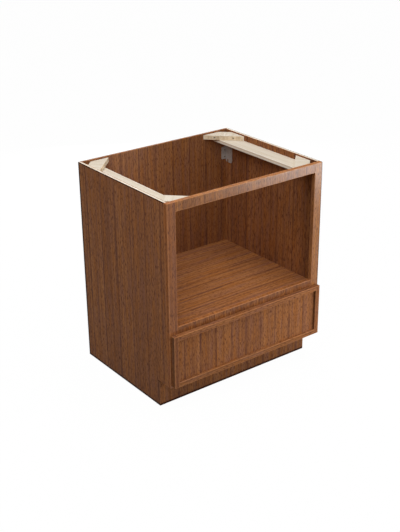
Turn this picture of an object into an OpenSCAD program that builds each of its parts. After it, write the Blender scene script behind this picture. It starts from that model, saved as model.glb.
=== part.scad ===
// Microwave base cabinet: an open microwave bay over one wide drawer, in a face
// frame, with concealed ball-bearing drawer runners. Millimetres, +Z up, the
// front towards -Y. The origin is the bottom centre of the whole cabinet.

/* [Carcass] */
// Overall width across the face frame
cab_w = 762; // [610:0.1:914.4]
// Depth from the face frame's front to the back
cab_d = 609.6; // [600:0.1:660]
// Height from the floor to the top edge
cab_h = 876.3; // [840:0.1:920]
// Side panel thickness
side_t = 12.7; // [11:0.1:19]
// Back panel thickness
back_t = 9.5; // [6.5:0.1:14]
// Cabinet floor thickness, under the drawer
floor_t = 12.7; // [10:0.1:20]
// Microwave shelf thickness
shelf_t = 19; // [12:0.1:20]
// Depth of the dadoes and rabbets in the side panels
dado = 6; // [3:0.1:8]
// Joint clearance between glued boards
glue_gap = 0.1; // [0.05:0.05:0.2]

/* [Toe kick] */
// Height of the toe space
toe_h = 114.3; // [90:0.1:130]
// Depth of the toe space behind the face frame's front
toe_d = 76.2; // [50:0.1:90]
// Toe kick board thickness
toe_t = 12.7; // [9:0.1:19]

/* [Face frame] */
// Frame thickness
frame_t = 19; // [17:0.1:22]
// Stile width
stile_w = 38.1; // [36:0.1:50]
// Top rail height
top_rail_h = 38.1; // [36:0.1:50]
// Middle rail height
mid_rail_h = 38.1; // [34:0.1:50]
// Bottom rail height
bottom_rail_h = 38.1; // [25:0.1:50]
// Clear height of the drawer opening
drawer_open_h = 180.3; // [178:0.1:200]
// Length of the stub tenons on the rails
tenon_l = 12; // [6:0.5:20]
// Thickness of the stub tenons
tenon_t = 8; // [5:0.5:10]
// Shoulder above and below each tenon
tenon_shoulder = 6; // [3:0.5:9]
// Height of the middle rail's top above the shelf
shelf_drop = 21.6; // [0:0.1:26]

/* [Top bracing] */
// Width of the two side braces
brace_w = 74; // [50:0.5:90]
// Brace thickness
brace_t = 15; // [9:0.5:19]
// Corner block thickness
block_t = 19; // [15:0.1:22]
// Length of a corner block's two legs
block_leg = 125; // [105:0.5:150]
// Cut taken off a corner block's square corner
block_cut = 40; // [20:0.5:45]
// Drop of the corner blocks below the top edge
block_drop = 6.35; // [3:0.05:12]

/* [Drawer front] */
// Thickness of the drawer front's frame
front_t = 19; // [17:0.1:22]
// Height of the drawer front
front_h = 222.25; // [205:0.05:226]
// Reveal of face frame beside and below the drawer front
reveal = 6.35; // [3:0.05:12]
// Width of the drawer front's slim stiles and rails
front_frame_w = 20; // [17:0.1:30]
// Depth of the recess to the drawer front's panel
panel_recess = 9.5; // [5:0.1:11]
// Tongue of the panel, housed in the stiles and rails
panel_tongue = 7; // [4:0.5:9]
// Thickness of the panel's tongue
tongue_t = 5; // [3:0.1:6]
// Gap between the drawer front and the face frame
front_gap = 1.8; // [1.6:0.1:3]
// Bumper diameter
bumper_d = 9; // [6:0.5:11]
// Bumper height
bumper_h = 1.5; // [1:0.1:1.5]

/* [Drawer box] */
// Length of the drawer box, front to back
box_l = 533.4; // [500:0.1:545]
// Height of the drawer box
box_h = 152.4; // [140:0.1:155]
// Thickness of the drawer box boards
box_t = 16; // [15:0.1:16.5]
// Side clearance between the drawer box and the face frame
box_gap = 5; // [4:0.1:6]
// Drawer bottom thickness
bottom_t = 9; // [6:0.1:12]
// Rise of the drawer bottom's underside above the box's lower edge
bottom_rise = 13; // [12:0.1:14]
// Depth of the groove that holds the drawer bottom
groove = 6; // [4:0.1:8]
// Number of dovetails at each corner
tail_n = 5; // [3:1:7]
// Length of the dovetails, less than the board thickness
tail_l = 11; // [8:0.1:12]
// Width of a dovetail at its wide end
tail_w = 20; // [14:0.1:21]
// Slope of a dovetail's cheeks, in degrees
tail_slope = 10; // [7:0.5:14]

/* [Runners] */
// Full travel of the drawer
travel = 508; // [400:1:512]
// Runner sheet thickness
sheet = 1.5; // [1:0.1:1.6]
// Height of the box's lower edge above the runner's base
runner_rise = 14; // [13.5:0.1:16]
// Setback of the runner behind the face frame's front
runner_setback = 3; // [2:0.1:6]
// Gap between the runner's base and the bottom rail
runner_lift = 1.6; // [0.5:0.1:3]
// Length of the fixed channel
channel_l = 558.8; // [545:0.1:570]
// Length of the middle member
middle_l = 440; // [400:1:450]
// Height of the fixed channel's walls
channel_h = 12; // [11.5:0.1:12.5]
// Bearing ball diameter
ball_d = 4; // [3.6:0.1:4.2]
// Running clearance round a ball
ball_gap = 0.12; // [0.08:0.01:0.2]
// Depth of the rolled ball tracks
track_depth = 0.7; // [0.4:0.05:0.9]
// Length of the lower ball cages
low_cage_l = 180; // [120:1:190]
// Length of the upper ball cages
high_cage_l = 240; // [150:1:245]
// Number of balls in each row
balls = 6; // [3:1:8]
// Thickness of a ball cage's strips
cage_t = 0.8; // [0.6:0.05:1]
// Width of the drawer member
member_w = 24; // [23.5:0.1:26]
// Clearance between a drawer side and the runner's tracks
member_gap = 0.2; // [0.1:0.05:0.5]

/* [Rear brackets] */
// Width of a bracket's screwed leg
leg_w = 25.4; // [24:0.1:25.4]
// Height of a bracket's plate
plate_h = 57.5; // [50:0.5:70]
// Forward length of a bracket's flange
flange_l = 45; // [40:0.5:55]
// Corner radius of the screwed leg
plate_r = 6; // [2:0.5:8]
// Drop of the forked end below the plate
fork_drop = 13; // [8:0.5:14]
// Width of the fork's slot
fork_slot = 9; // [8:0.1:11]
// Distance of the fork's slot from the back panel
fork_inset = 10; // [8:0.5:14]
// Spacing of a bracket's two screws
bracket_pitch = 31; // [24:0.5:40]
// Height of the lower screw above the plate's bottom edge
bracket_hole_z = 11; // [8:0.5:14]
// Distance of the screws from the leg's free edge
bracket_hole_in = 17.8; // [10:0.1:18.5]
// Drop of the upper brackets' plates below the top edge
upper_bracket_drop = 79.3; // [76:0.1:200]

/* [Locking clips] */
// Length of a locking clip, front to back
clip_l = 40; // [36:0.5:60]
// Width of a locking clip's body
clip_w = 22; // [18:0.5:30]
// Width of the clip's screwed flange
clip_flange_w = 24; // [20:0.5:30]
// Thickness of the clip's flange
clip_flange_t = 3; // [2:0.1:5]
// Length of a release lever behind its pivot
lever_l = 46; // [36:0.5:60]
// Thickness of a release lever
lever_t = 4; // [3:0.1:4.5]
// Width of a release lever
lever_w = 8; // [7:0.1:10]
// Diameter of a release lever's finger pad
lever_pad_d = 14; // [10:0.5:16]
// Pivot pin diameter of a release lever
pivot_d = 4; // [3:0.1:5]

/* [Screws] */
// Shank diameter of the wood screws
screw_d = 4; // [3:0.1:4.5]
// Head diameter of the wood screws
screw_head_d = 7; // [6:0.1:8]
// Head height of the wood screws
screw_head_h = 1.8; // [1.2:0.1:2.4]
// Clearance round a screw's shank
screw_gap = 0.1; // [0.05:0.05:0.2]
// Length of the screws through the corner blocks
block_screw_l = 44; // [40:0.5:48]
// Distance of a corner block's screws from its square corner
block_screw_in = 35; // [32:0.5:42]
// Distance of the drawer front's screws from the box's sides
front_screw_in = 70; // [30:0.5:150]
// Height of the lower drawer front screws above the box's lower edge
front_screw_low = 45; // [32:0.5:60]
// Drop of the upper drawer front screws below the box's top edge
front_screw_high = 40; // [15:0.5:60]

/* [Hidden] */

$fn = 48;
eps = 0.01;

// Carcass planes, front to back
depth = cab_d + front_gap + front_t;
back_y = depth / 2;
frame_y = back_y - cab_d;
frame_back_y = frame_y + frame_t;
back_face_y = back_y - back_t;
toe_y = frame_y + toe_d;
side_x = cab_w / 2 - side_t;
open_x = cab_w / 2 - stile_w;

// Heights
open_z = toe_h + bottom_rail_h;
mid_rail_z = open_z + drawer_open_h;
bay_z = mid_rail_z + mid_rail_h;
shelf_z = bay_z - shelf_drop - shelf_t;
top_rail_z = cab_h - top_rail_h;
block_z = cab_h - block_drop - block_t;
brace_z = block_z - brace_t;

// Drawer front
front_w = cab_w - 2 * reveal;
front_z = toe_h + reveal;
front_back_y = frame_y - front_gap;
front_face_y = front_back_y - front_t;
panel_t = front_t - panel_recess;
tongue_y = front_back_y - panel_t / 2 - tongue_t / 2;
groove_y = tongue_y - glue_gap;
groove_t = tongue_t + 2 * glue_gap;
stub_shoulder = panel_tongue + 1;

// Drawer box
base_z = open_z + runner_lift;
box_z = base_z + runner_rise;
box_x = open_x - box_gap;
box_in_x = box_x - box_t;
box_y = front_back_y;
box_in_y = box_y + box_t;
box_end_y = box_y + box_l;
bottom_z = box_z + bottom_rise;
tail_pitch = box_h / tail_n;

// Runner section: offsets inboard from the face frame's opening, heights above its base
middle_step = 1.3;
middle_lift = 2;
middle_drop = 1.5;
step_drop = 2;
wall_lift = 0.5;
low_ball_z = 7;
high_ball_z = 18.5;
runner_h = runner_rise + bottom_rise;
ball_r = ball_d / 2;
track_r = ball_r + ball_gap;
track_in = ball_r - track_depth;
track_out = track_depth + ball_gap;
drawer_in = box_gap + box_t + track_out + member_gap;
drawer_out = drawer_in + member_w;
mid_line = (drawer_in + drawer_out) / 2;
high_face = drawer_in + sheet;
high_row = high_face + track_in;
mid_high = high_row + track_in;
mid_low = mid_high - middle_step;
low_row = mid_low - track_in;
low_face = low_row - track_in;
middle_z = sheet + middle_lift;
step_z = channel_h - step_drop;
middle_top = runner_h - sheet - middle_drop;
drawer_wall_z = runner_rise + wall_lift;

// Runner members, front to back
cage_margin = 4;
cage_lip = 0.4;
low_bridge_z = sheet + 0.6;
high_bridge_z = middle_top + 0.35;
channel_y = frame_y + runner_setback;
member_y = box_in_y + 0.5;
middle_y = member_y + 1.5;
low_cage_y = channel_y + travel / 4 + cage_margin;
high_cage_y = middle_y + travel / 4 + cage_margin;

// The drawer member's rear hook and the notch it passes
hook_w = 12;
hook_h = 15;
hook_reach = 6;
hook_y = box_end_y + hook_reach;
hook_pin_d = 5;
hook_pin_z = 8;
hook_pin_in = box_t - groove - 3;
hook_hole_d = hook_pin_d + 1;
hook_hole_l = hook_pin_in + 2;
notch_w = 36;

// Rear brackets, and the channels' headed studs in their forks
upper_bracket_z = cab_h - upper_bracket_drop - plate_h;
lower_bracket_rise = 13.5;
lower_bracket_z = base_z + fork_drop + lower_bracket_rise;
flange_corner = 5;
fork_corner = 6;
bead_w = 9;
bead_h = 0.8;
bead_inset = 8;
stud_d = 6;
stud_head_d = 12;
stud_head_t = 2;
stud_rise = 7;
stud_y = back_face_y - fork_inset - fork_slot / 2;
stud_z = lower_bracket_z - fork_drop + stud_rise;
tail_y = back_face_y - fork_inset + 2;
tail_z = stud_z - base_z - 8;

// Locking clips
clip_gap = 0.3;
clip_x = drawer_out + track_out + clip_gap;
clip_y = box_in_y + glue_gap;
clip_z = runner_rise + 1;
clip_top = runner_h - glue_gap;
clip_screw_inset = 6;
lever_x = clip_x + clip_w - 8;
lever_y = box_in_y + clip_l - 10;
lever_z = clip_z + 3.5;
lever_gap = 0.3;
lever_hub_d = 13;
lever_slot = lever_hub_d / 2 + 2.5;
lever_pin_h = clip_top - clip_z - 2.8;

// Screw places
block_screw_z = block_z + block_t / 2;
block_bore = 4;
block_bore_out = 16;
block_screw_grip = 3;
screw_head_gap = 0.3;
runner_screw_y = frame_y + frame_t / 2;
runner_screw_z = [5.5, runner_h - 5.5];
runner_screw_l = 20;
front_screw_l = box_t + 7;
front_screw_x = box_in_x - front_screw_in;
front_screw_z = [box_z + front_screw_low, box_z + box_h - front_screw_high];
clip_screw_l = 11;
clip_screw_x = [clip_x + clip_w + clip_screw_inset, clip_x + clip_w + clip_flange_w - clip_screw_inset];
bracket_screw_l = 7.5;

walnut = [0.44, 0.27, 0.17];
maple = [0.86, 0.80, 0.72];
zinc = [0.62, 0.62, 0.63];
grey = [0.43, 0.40, 0.38];

// ---- Helpers ----

// A board between two opposite corners
module board(low, high) {
    translate(low) cube(high - low);
}

// A flat outline in Y and Z, given thickness along +X from x
module yz_plate(x, t) {
    translate([x, 0, 0]) rotate([90, 0, 90]) linear_extrude(t) children();
}

// The right hand form, or its mirror image on the left
module hand(side) {
    mirror([side < 0 ? 1 : 0, 0, 0]) children();
}

// A cylinder from point p along axis "x", "y" or "z"; a negative length goes the other way
module rod(p, d, l, axis) {
    turn = axis == "x" ? [0, l < 0 ? -90 : 90, 0]
         : axis == "y" ? [l < 0 ? 90 : -90, 0, 0]
         : [l < 0 ? 180 : 0, 0, 0];
    translate(p) rotate(turn) cylinder(h = abs(l), d = d);
}

// A pan head screw whose head sits on the face at p and whose shank goes along the axis
module screw(p, l, axis, d = screw_d) {
    way = l < 0 ? -1 : 1;
    rod(p, screw_head_d, -way * screw_head_h, axis);
    rod(p, d, l, axis);
}

// The hole for that screw, a little longer than the shank
module screw_hole(p, l, axis, d = screw_d) {
    way = l < 0 ? -1 : 1;
    start = axis == "x" ? [-way * eps, 0, 0] : axis == "y" ? [0, -way * eps, 0] : [0, 0, -way * eps];
    rod(p + start, d + 2 * screw_gap, l + way * 0.5, axis);
}

// ---- Carcass ----

// The two screws of the corner block in the +X corner at the back or front, or their holes
module block_screws(back, hole) {
    inner_y = back ? back_face_y : frame_back_y;
    way = back ? -1 : 1;
    far = block_leg - block_screw_in;
    p_side = [side_x - block_screw_in, inner_y + way * far, block_screw_z];
    p_wall = [side_x - far, inner_y + way * block_screw_in, block_screw_z];
    side_l = block_screw_l - block_bore;
    wall_l = -way * (block_screw_in + back_t - block_screw_grip - block_bore);
    head_side = p_side + [block_bore, 0, 0];
    head_wall = p_wall - [0, way * block_bore, 0];
    if (hole) {
        bore_d = screw_head_d + 2 * screw_head_gap;
        bore_l = block_bore_out + block_bore;
        rod(head_side - [bore_l, 0, 0], bore_d, bore_l, "x");
        rod(head_wall + [0, way * bore_l, 0], bore_d, -way * bore_l, "y");
        screw_hole(head_side, side_l, "x");
        screw_hole(head_wall, wall_l, "y");
    } else {
        screw(head_side, side_l, "x");
        screw(head_wall, wall_l, "y");
    }
}

module side_panel(side) {
    color(walnut) hand(side) difference() {
        yz_plate(side_x, side_t) polygon([
            [toe_y + toe_t, 0], [back_y, 0], [back_y, cab_h],
            [frame_back_y, cab_h], [frame_back_y, toe_h], [toe_y + toe_t, toe_h]
        ]);
        board([side_x - 1, frame_back_y - 1, toe_h],
              [side_x + dado, back_y + 1, toe_h + floor_t + glue_gap]);
        board([side_x - 1, frame_back_y - 1, shelf_z],
              [side_x + dado, back_y + 1, shelf_z + shelf_t + glue_gap]);
        board([side_x - 1, back_face_y, -1], [side_x + dado, back_y + 1, cab_h + 1]);
        block_screws(true, true);
        block_screws(false, true);
    }
}

module left_side_panel() side_panel(-1);
module right_side_panel() side_panel(1);

module back_panel() {
    half = side_x + dado - glue_gap;
    color(walnut) difference() {
        board([-half, back_face_y, 0], [half, back_y, cab_h]);
        for (side = [-1, 1]) hand(side) {
            block_screws(true, true);
            bracket_holes(upper_bracket_z, side_x, -1);
            bracket_holes(lower_bracket_z, open_x, 1);
        }
    }
}

// A shelf housed in the side dadoes between the face frame and the back panel
module housed_shelf(z, t) {
    half = side_x + dado - glue_gap;
    board([-half, frame_back_y, z], [half, back_face_y - glue_gap, z + t]);
}

module cabinet_floor() {
    color(walnut) housed_shelf(toe_h, floor_t);
}

module microwave_shelf() {
    color(walnut) housed_shelf(shelf_z, shelf_t);
}

module toe_kick_board() {
    color(walnut) board([-cab_w / 2, toe_y, 0], [cab_w / 2, toe_y + toe_t, toe_h - glue_gap]);
}

// ---- Face frame ----

// A rail with stub tenons; the mortises are cut by the same tenons, grown by the glue gap
module tenon(z, h, grow) {
    middle_y = frame_y + frame_t / 2;
    board([open_x - 1, middle_y - tenon_t / 2 - grow, z + tenon_shoulder - grow],
          [open_x + tenon_l + grow, middle_y + tenon_t / 2 + grow, z + h - tenon_shoulder + grow]);
}

module rail(z, h) {
    color(walnut) {
        board([-open_x, frame_y, z], [open_x, frame_back_y, z + h]);
        for (side = [-1, 1]) hand(side) tenon(z, h, 0);
    }
}

module stile(side) {
    color(walnut) hand(side) difference() {
        board([open_x, frame_y, toe_h], [cab_w / 2, frame_back_y, cab_h]);
        tenon(top_rail_z, top_rail_h, glue_gap);
        tenon(mid_rail_z, mid_rail_h, glue_gap);
        tenon(toe_h, bottom_rail_h, glue_gap);
        for (z = runner_screw_z)
            screw_hole([open_x - sheet, runner_screw_y, base_z + z], runner_screw_l, "x");
    }
}

module left_stile() stile(-1);
module right_stile() stile(1);
module top_rail() {
    color(walnut) difference() {
        rail(top_rail_z, top_rail_h);
        for (side = [-1, 1]) hand(side) block_screws(false, true);
    }
}
module middle_rail() rail(mid_rail_z, mid_rail_h);
module bottom_rail() rail(toe_h, bottom_rail_h);

// ---- Top bracing ----

module brace(side) {
    color(maple) hand(side)
        board([side_x - brace_w, frame_back_y + glue_gap, brace_z],
              [side_x - glue_gap, back_face_y - glue_gap, brace_z + brace_t - glue_gap]);
}

module left_brace() brace(-1);
module right_brace() brace(1);

module corner_block(side, back) {
    inner_y = back ? back_face_y - glue_gap : frame_back_y + glue_gap;
    way = back ? -1 : 1;
    leg = block_leg;
    cut = block_cut;
    color(maple) hand(side) difference() {
        translate([side_x - glue_gap, inner_y, block_z]) linear_extrude(block_t)
            polygon([[-cut, 0], [-leg, 0], [0, way * leg], [0, way * cut]]);
        block_screws(back, true);
    }
}

module back_left_corner_block() corner_block(-1, true);
module back_right_corner_block() corner_block(1, true);
module front_left_corner_block() corner_block(-1, false);
module front_right_corner_block() corner_block(1, false);

module corner_block_screws() {
    color(zinc) for (side = [-1, 1]) hand(side) {
        block_screws(true, false);
        block_screws(false, false);
    }
}

// ---- Rear brackets ----

// Places of a bracket's screws: the bend stands at x, and the leg runs inboard (-1) or outboard (1)
function bracket_spots(z, x, way) = [
    for (i = [0, 1])
        [x + way * (leg_w - bracket_hole_in), back_face_y, z + bracket_hole_z + i * bracket_pitch]
];

module bracket_holes(z, x, way) {
    for (p = bracket_spots(z, x, way))
        screw_hole(p - [0, sheet, 0], bracket_screw_l + sheet, "y");
}

module bracket_screw_set(z, x, way) {
    for (p = bracket_spots(z, x, way)) screw(p - [0, sheet, 0], bracket_screw_l + sheet, "y");
}

// A bent plate: a screwed leg on the back panel and a forked flange that reaches forward
module bracket(z, x, way) {
    flange_x = way < 0 ? x - sheet - glue_gap : x;
    slot_y = back_face_y - fork_inset - fork_slot;
    bead_y = back_face_y - flange_l + bead_inset;
    color(grey) difference() {
        union() {
            translate([x, back_face_y, z]) rotate([90, 0, 0]) linear_extrude(sheet)
                scale([way, 1]) leg_outline();
            yz_plate(flange_x, sheet) flange_outline(z);
            board([flange_x - bead_h, bead_y, z + bead_inset],
                  [flange_x + eps, bead_y + bead_w, z + plate_h - bead_inset]);
        }
        bracket_holes(z, x, way);
        board([flange_x - 1, slot_y, z - fork_drop - 1],
              [flange_x + sheet + 1, slot_y + fork_slot, z - 2]);
        rod([flange_x - 1, slot_y + fork_slot / 2, z - 2], fork_slot, sheet + 2, "x");
    }
}

// The screwed leg with its two rounded corners, in the plane of the back panel
module leg_outline() {
    square([leg_w - plate_r, plate_h]);
    translate([0, plate_r]) square([leg_w, plate_h - 2 * plate_r]);
    for (z = [plate_r, plate_h - plate_r]) translate([leg_w - plate_r, z]) circle(plate_r);
}

// The flange and the two prongs of its fork, in Y and Z
module flange_outline(z) {
    end_y = back_face_y - flange_l;
    fork_z = z - fork_drop;
    polygon([
        [back_face_y, z + plate_h], [back_face_y, z],
        [back_face_y - 2, fork_z + fork_corner], [back_face_y - fork_inset, fork_z],
        [end_y + fork_corner, fork_z], [end_y, fork_z + 2 * fork_corner],
        [end_y, z + plate_h - flange_corner], [end_y + flange_corner, z + plate_h]
    ]);
}

module upper_left_bracket() hand(-1) bracket(upper_bracket_z, side_x, -1);
module upper_right_bracket() hand(1) bracket(upper_bracket_z, side_x, -1);
module lower_left_bracket() hand(-1) bracket(lower_bracket_z, open_x, 1);
module lower_right_bracket() hand(1) bracket(lower_bracket_z, open_x, 1);

module bracket_screws() {
    color(zinc) for (side = [-1, 1]) hand(side) {
        bracket_screw_set(upper_bracket_z, side_x, -1);
        bracket_screw_set(lower_bracket_z, open_x, 1);
    }
}

// ---- Runners ----

// Extrudes a runner section: its X is the offset inboard from the opening, its Y the height
module run(y, l) {
    translate([open_x, y + l, base_z]) mirror([1, 0, 0]) rotate([90, 0, 0])
        linear_extrude(l) children();
}

// A section and its mirror image about the runner's middle line
module both() {
    children();
    translate([2 * mid_line, 0]) mirror([1, 0]) children();
}

// A sheet wall with a rolled track: the balls run on the face at x, to the side that way points
module track_wall(x, way, low, high, row_z) {
    row_x = x + way * track_in;
    difference() {
        union() {
            translate([way < 0 ? x : x - sheet, low]) square([sheet, high - low]);
            intersection() {
                translate([row_x, row_z]) circle(track_r + sheet);
                translate([way < 0 ? x : x - 2 * track_r, row_z - 2 * track_r])
                    square([2 * track_r, 4 * track_r]);
            }
        }
        translate([row_x, row_z]) circle(track_r);
    }
}

module fixed_channel(side) {
    color(zinc) hand(side) difference() {
        union() {
            run(channel_y, channel_l) {
                square([sheet, runner_h]);
                square([2 * mid_line - low_face + sheet, sheet]);
                both() track_wall(low_face, 1, 0, channel_h, low_ball_z);
            }
            run(channel_y + channel_l - 1, tail_y - channel_y - channel_l + 1)
                translate([0, tail_z]) square([sheet, runner_h - tail_z]);
            rod([open_x - eps, stud_y, stud_z], stud_d, 2 * sheet, "x");
            rod([open_x + sheet + lever_gap, stud_y, stud_z], stud_head_d, stud_head_t, "x");
        }
        for (z = runner_screw_z)
            screw_hole([open_x - sheet, runner_screw_y, base_z + z], sheet + 1, "x");
    }
}

module left_fixed_channel() fixed_channel(-1);
module right_fixed_channel() fixed_channel(1);

module middle_member(side) {
    color(zinc) hand(side) run(middle_y, middle_l) {
        both() {
            track_wall(mid_low, -1, middle_z, step_z + sheet, low_ball_z);
            translate([mid_low, step_z]) square([mid_high - mid_low + sheet, sheet]);
            track_wall(mid_high, -1, step_z, middle_top, high_ball_z);
        }
        translate([mid_low, middle_z]) square([2 * (mid_line - mid_low), sheet]);
        translate([mid_high, middle_top - sheet]) square([2 * (mid_line - mid_high), sheet]);
    }
}

module left_middle_member() middle_member(-1);
module right_middle_member() middle_member(1);

// The drawer member, with a rear hook that pins into the drawer box's back
module drawer_member(side) {
    hook_x = open_x - mid_line - hook_w / 2;
    color(zinc) hand(side) {
        run(member_y, hook_y - member_y) {
            translate([drawer_in, runner_h - sheet]) square([drawer_out - drawer_in, sheet]);
            both() track_wall(high_face, 1, drawer_wall_z, runner_h, high_ball_z);
        }
        board([hook_x, hook_y - sheet, bottom_z - eps], [hook_x + hook_w, hook_y, bottom_z + hook_h]);
        rod([open_x - mid_line, hook_y - sheet + eps, bottom_z + hook_pin_z], hook_pin_d,
            -(hook_reach - sheet + hook_pin_in), "y");
    }
}

module left_drawer_member() drawer_member(-1);
module right_drawer_member() drawer_member(1);

// A U-shaped cage: a bridge at bridge_z and two strips that hold a row of balls each
module ball_cage(side, y, l, row_x, row_z, bridge_z) {
    low = min(row_z - ball_r - cage_lip, bridge_z);
    high = max(row_z + ball_r + cage_lip, bridge_z + cage_t);
    pitch = l / balls;
    hand(side) {
        color(grey) run(y, l) {
            both() translate([row_x - cage_t / 2, low]) square([cage_t, high - low]);
            translate([row_x - cage_t / 2, bridge_z])
                square([2 * (mid_line - row_x) + cage_t, cage_t]);
        }
        color(zinc) for (i = [0 : balls - 1], x = [row_x, 2 * mid_line - row_x])
            translate([open_x - x, y + pitch * (i + 0.5), base_z + row_z]) sphere(d = ball_d);
    }
}

module lower_ball_cage(side)
    ball_cage(side, low_cage_y, low_cage_l, low_row, low_ball_z, low_bridge_z);
module upper_ball_cage(side)
    ball_cage(side, high_cage_y, high_cage_l, high_row, high_ball_z, high_bridge_z);

module left_lower_ball_cage() lower_ball_cage(-1);
module right_lower_ball_cage() lower_ball_cage(1);
module left_upper_ball_cage() upper_ball_cage(-1);
module right_upper_ball_cage() upper_ball_cage(1);

module runner_screws() {
    color(zinc) for (side = [-1, 1], z = runner_screw_z) hand(side)
        screw([open_x - sheet, runner_screw_y, base_z + z], runner_screw_l, "x");
}

// ---- Drawer box ----

// One corner's row of dovetails in Y and Z: roots on the line y, tips towards way, grown by grow
module tail_row(y, way, grow) {
    root = tail_w / 2 - tail_l * tan(tail_slope);
    tip = tail_l + grow;
    for (i = [0 : tail_n - 1])
        translate([y, box_z + tail_pitch * (i + 0.5)]) rotate(way < 0 ? 180 : 0) polygon([
            [-0.2, -root - grow], [tip, -tail_w / 2 - grow],
            [tip, tail_w / 2 + grow], [-0.2, root + grow]
        ]);
}

// The space of the drawer bottom and its grooves
module bottom_space(grow) {
    reach = groove + grow;
    board([-box_in_x - reach, box_in_y - reach, bottom_z - grow],
          [box_in_x + reach, box_end_y - box_t + reach, bottom_z + bottom_t + grow]);
}

module drawer_side(side) {
    color(maple) difference() {
        hand(side) yz_plate(box_in_x, box_t) {
            translate([box_in_y, box_z]) square([box_l - 2 * box_t, box_h]);
            tail_row(box_in_y, -1, 0);
            tail_row(box_end_y - box_t, 1, 0);
        }
        bottom_space(glue_gap);
    }
}

module drawer_left_side() drawer_side(-1);
module drawer_right_side() drawer_side(1);

// An end board of the box, with the sockets for both sides' dovetails
module drawer_end(y, way) {
    difference() {
        board([-box_x, y, box_z], [box_x, y + box_t, box_z + box_h]);
        for (side = [-1, 1]) hand(side)
            yz_plate(box_in_x - glue_gap, box_t + 1)
                tail_row(way < 0 ? y + box_t : y, way, glue_gap);
        bottom_space(glue_gap);
    }
}

module drawer_box_front() {
    color(maple) difference() {
        drawer_end(box_y, -1);
        for (side = [-1, 1]) hand(side) {
            front_screw_set(true);
            clip_screw_set(true);
        }
    }
}

// The blind hole for a runner's hook in the back board, short of the bottom's groove
module hook_hole() {
    rod([open_x - mid_line, box_end_y + 1, bottom_z + hook_pin_z], hook_hole_d, -hook_hole_l - 1, "y");
}

// The back board is notched over the runners and drilled for their hooks
module drawer_box_back() {
    y = box_end_y - box_t;
    color(maple) difference() {
        drawer_end(y, 1);
        for (side = [-1, 1]) hand(side) {
            board([open_x - drawer_in - notch_w, y - 1, box_z - 1],
                  [box_in_x, box_end_y + 1, bottom_z]);
            hook_hole();
        }
    }
}

module drawer_bottom() {
    color(maple) bottom_space(0);
}

// ---- Drawer front ----

// The groove round the panel
module front_groove() {
    inner_x = front_w / 2 - front_frame_w;
    reach = panel_tongue + glue_gap;
    board([-inner_x - reach, groove_y, front_z + front_frame_w - reach],
          [inner_x + reach, groove_y + groove_t, front_z + front_h - front_frame_w + reach]);
}

// The rails' stub tenons at one end, from the lower to the upper rail's outer shoulder
module front_stub(z, grow) {
    inner_x = front_w / 2 - front_frame_w;
    board([inner_x - eps, tongue_y - grow, z + stub_shoulder - grow],
          [inner_x + panel_tongue - glue_gap + grow, tongue_y + tongue_t + grow,
           z + front_frame_w - stub_shoulder + grow]);
}

module front_stile(side) {
    color(walnut) difference() {
        hand(side) board([front_w / 2 - front_frame_w, front_face_y, front_z],
                         [front_w / 2, front_back_y, front_z + front_h]);
        front_groove();
        hand(side) for (z = [front_z, front_z + front_h - front_frame_w]) front_stub(z, glue_gap);
    }
}

module front_left_stile() front_stile(-1);
module front_right_stile() front_stile(1);

module front_rail(z) {
    half = front_w / 2 - front_frame_w;
    color(walnut) {
        difference() {
            board([-half, front_face_y, z], [half, front_back_y, z + front_frame_w]);
            front_groove();
        }
        for (side = [-1, 1]) hand(side) front_stub(z, 0);
    }
}

module front_top_rail() front_rail(front_z + front_h - front_frame_w);
module front_bottom_rail() front_rail(front_z);

// The flat panel: flush with the back of its frame, recessed at the front, tongued all round
module front_panel() {
    half = front_w / 2 - front_frame_w;
    low_z = front_z + front_frame_w;
    high_z = front_z + front_h - front_frame_w;
    color(walnut) difference() {
        union() {
            board([-half + glue_gap, front_back_y - panel_t, low_z + glue_gap],
                  [half - glue_gap, front_back_y, high_z - glue_gap]);
            board([-half - panel_tongue, tongue_y, low_z - panel_tongue],
                  [half + panel_tongue, tongue_y + tongue_t, high_z + panel_tongue]);
        }
        for (side = [-1, 1]) hand(side) front_screw_set(true);
    }
}

module front_bumpers() {
    inset = front_frame_w / 2;
    color(grey) for (x = [-1, 1], z = [front_z + inset, front_z + front_h - inset])
        rod([x * (front_w / 2 - inset), front_back_y, z], bumper_d, bumper_h, "y");
}

module front_screw_set(hole) {
    for (z = front_screw_z) {
        p = [front_screw_x, box_in_y, z];
        if (hole) screw_hole(p, -front_screw_l, "y");
        else screw(p, -front_screw_l, "y");
    }
}

module drawer_front_screws() {
    color(zinc) for (side = [-1, 1]) hand(side) front_screw_set(false);
}

// ---- Locking clips ----

module clip_screw_set(hole) {
    z = base_z + (clip_z + clip_top) / 2;
    for (x = clip_screw_x) {
        p = [open_x - x, clip_y + clip_flange_t, z];
        if (hole) screw_hole(p, -clip_screw_l, "y");
        else screw(p, -clip_screw_l, "y");
    }
}

module clip_screws() {
    color(zinc) for (side = [-1, 1]) hand(side) clip_screw_set(false);
}

// A block beside the drawer member with a slot for its lever, and a flange on the box front
module locking_clip(side) {
    x = open_x - clip_x;
    end_y = box_in_y + clip_l;
    low_z = base_z + clip_z;
    high_z = base_z + clip_top;
    slot_z = base_z + lever_z - lever_gap;
    color(grey) hand(side) difference() {
        union() {
            board([x - clip_w, clip_y, low_z], [x, end_y, high_z]);
            board([x - clip_w - clip_flange_w, clip_y, low_z],
                  [x - clip_w + eps, clip_y + clip_flange_t, high_z]);
        }
        board([x - clip_w - 1, lever_y - lever_slot, slot_z],
              [x + 1, end_y + 1, slot_z + lever_t + 2 * lever_gap]);
        rod([open_x - lever_x, lever_y, low_z - 1], pivot_d + glue_gap, high_z - low_z - 1, "z");
        clip_screw_set(true);
    }
}

module left_locking_clip() locking_clip(-1);
module right_locking_clip() locking_clip(1);

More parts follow.
